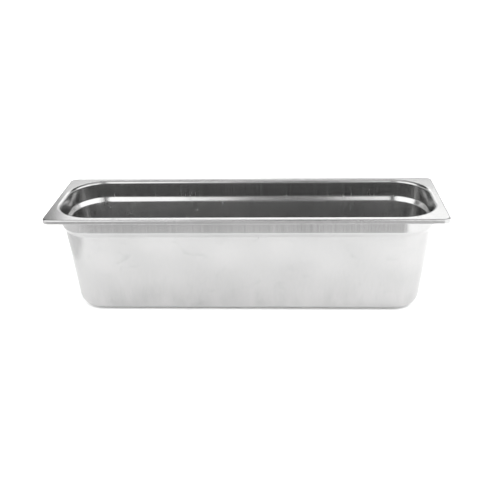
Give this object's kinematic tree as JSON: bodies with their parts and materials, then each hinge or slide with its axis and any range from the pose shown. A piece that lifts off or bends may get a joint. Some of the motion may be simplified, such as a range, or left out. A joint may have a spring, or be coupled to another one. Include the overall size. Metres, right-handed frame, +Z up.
{
  "type": "deli food pan",
  "caption": "Long narrow open-topped stainless steel food pan with sloping walls, a stacking shoulder, rounded corners and a flat rim whose edge turns down.",
  "frame": {"origin": "centre of the flat base's underside, which is the bottom centre of the bounding box", "axes": "+X along the pan's length, +Y across its width, +Z up to the rim"},
  "size_m": [0.53, 0.162, 0.15],
  "materials": {
    "stainless_steel": "satin, as rolled and drawn, with light drawing marks"
  },
  "bodies": {
    "root": {"pan": "stainless_steel"}
  },
  "joints": []
}
